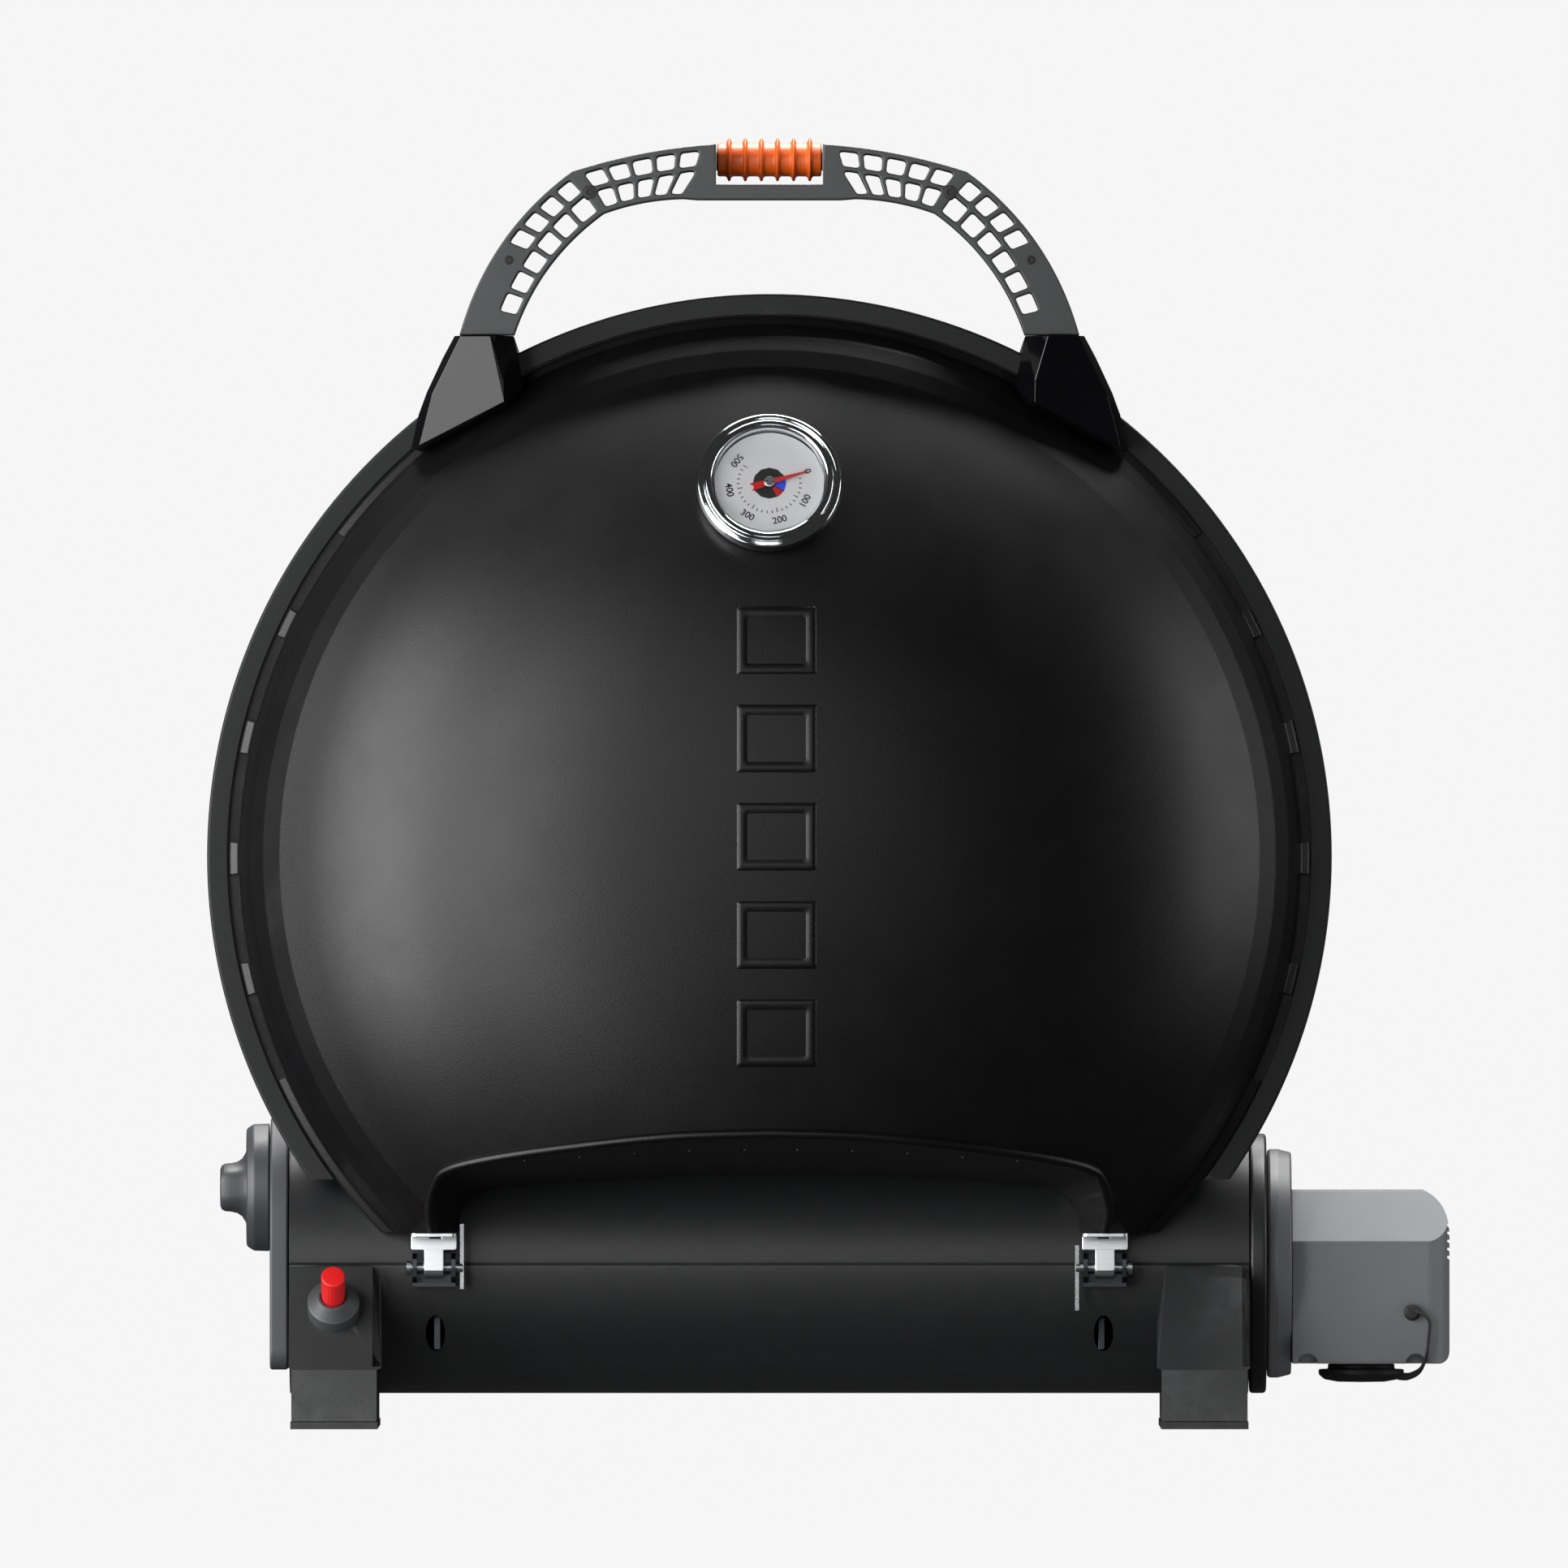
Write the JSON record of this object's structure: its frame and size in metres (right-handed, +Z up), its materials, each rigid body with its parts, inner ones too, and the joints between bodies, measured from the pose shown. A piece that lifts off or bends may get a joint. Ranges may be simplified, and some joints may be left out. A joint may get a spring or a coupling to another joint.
{
  "type": "portable tabletop grill",
  "caption": "Round clamshell gas grill that stands upright on its feet, with a carrying handle, hinged lid, gauge, control knob, igniter and swinging regulator.",
  "frame": {"origin": "middle of the bottom of the bounding box, on the floor under the upright grill", "axes": "+Z up with the handle on top, +Y towards the bowl's back, so the lid faces -Y; +X towards the regulator"},
  "size_m": [0.521, 0.2344, 0.5405],
  "materials": {
    "black_enamel": "satin black enamel",
    "satin_black_paint": "satin black paint",
    "rim_grey": "dark grey satin paint",
    "dark_plastic": "finely textured dark grey plastic",
    "gloss_plastic": "glossy black plastic",
    "grey_plastic": "matt mid grey plastic",
    "orange_plastic": "satin orange plastic",
    "red_plastic": "red plastic",
    "black_rubber": "matt black rubber",
    "steel": "bright steel",
    "chrome": "polished chrome",
    "brass": "machined brass",
    "cast_iron": "black enamelled cast iron",
    "dial_silver": "matt silver dial face",
    "glass": "clear glass",
    "ceramic": "white ceramic"
  },
  "bodies": {
    "base": {"base_bowl": "black_enamel", "base_handle": "dark_plastic", "burner": "steel", "drip_pan": "steel", "gas_pipe": "brass", "gas_valve": "brass", "grate_ledge": "steel", "igniter_collar": "dark_plastic", "igniter_electrode": "ceramic", "igniter_lead": "black_rubber", "igniter_module": "black_rubber", "knob_end_plate": "dark_plastic", "left_base_socket": "gloss_plastic", "left_foot_bracket": "dark_plastic", "left_foot_pad": "black_rubber", "left_grate": "cast_iron", "left_hinge_bracket": "steel", "left_hinge_pin": "steel", "left_leg_bracket": "satin_black_paint", "left_leg_pin": "steel", "right_base_socket": "gloss_plastic", "right_end_disc": "satin_black_paint", "right_foot_bracket": "dark_plastic", "right_foot_pad": "black_rubber", "right_grate": "cast_iron", "right_hinge_bracket": "steel", "right_hinge_pin": "steel", "right_leg_bracket": "satin_black_paint", "right_leg_pin": "steel", "rim_trim": "rim_grey", "tube_housing": "satin_black_paint"},
    "lid": {"lid_shell": "black_enamel", "lid_handle": "dark_plastic", "left_lid_socket": "gloss_plastic", "right_lid_socket": "gloss_plastic", "left_hinge_leaf": "steel", "right_hinge_leaf": "steel", "thermometer_case": "chrome", "thermometer_dial": "dial_silver", "thermometer_lens": "glass", "thermometer_probe": "steel"},
    "lock": {"lock_sleeve": "orange_plastic"},
    "needle": {"thermometer_needle": "red_plastic"},
    "knob": {"control_knob": "grey_plastic", "valve_stem": "brass"},
    "button": {"igniter_button": "red_plastic"},
    "regulator": {"swivel_collar": "dark_plastic", "swivel_fitting": "brass", "regulator_housing": "grey_plastic", "regulator_port": "brass", "cap_tether": "black_rubber"},
    "cap": {"port_cap": "black_rubber"},
    "left_leg_body": {"left_leg": "dark_plastic", "left_leg_pad": "black_rubber"},
    "right_leg_body": {"right_leg": "dark_plastic", "right_leg_pad": "black_rubber"}
  },
  "joints": [
    {"name": "lid_hinge", "type": "hinge", "parent": "base", "child": "lid", "pos_m": [-0.02485, -0.0252, 0.0673], "axis": [1, 0, 0], "range_deg": [0, 95]},
    {"name": "lock_turn", "type": "hinge", "parent": "lid", "child": "lock", "pos_m": [-0.02485, -0.0192, 0.5315], "axis": [1, 0, 0], "range_deg": [0, 90]},
    {"name": "needle_turn", "type": "hinge", "parent": "lid", "child": "needle", "pos_m": [-0.02485, -0.08949, 0.3932], "axis": [0, 0.9272, -0.3746], "range_deg": [0, 230]},
    {"name": "knob_turn", "type": "hinge", "parent": "base", "child": "knob", "pos_m": [-0.23985, 0.0353, 0.1006], "axis": [-1, 0, 0], "range_deg": [0, 180]},
    {"name": "button_press", "type": "slide", "parent": "base", "child": "button", "axis": [0, 0.848, -0.53], "range_m": [0, 0.006], "stiffness_N_per_m": 400},
    {"name": "regulator_swivel", "type": "hinge", "parent": "base", "child": "regulator", "pos_m": [0.18915, 0.0353, 0.0687], "axis": [1, 0, 0], "range_deg": [0, 90]},
    {"name": "cap_pull", "type": "slide", "parent": "regulator", "child": "cap", "axis": [0, 0, -1], "range_m": [0, 0.014], "deforming": ["cap_tether"]},
    {"name": "left_leg_fold", "type": "hinge", "parent": "base", "child": "left_leg_body", "pos_m": [-0.08685, 0.0803, 0.34], "axis": [1, 0, 0], "range_deg": [0, 90]},
    {"name": "right_leg_fold", "type": "hinge", "parent": "base", "child": "right_leg_body", "pos_m": [0.03715, 0.0803, 0.34], "axis": [1, 0, 0], "range_deg": [0, 90]}
  ]
}
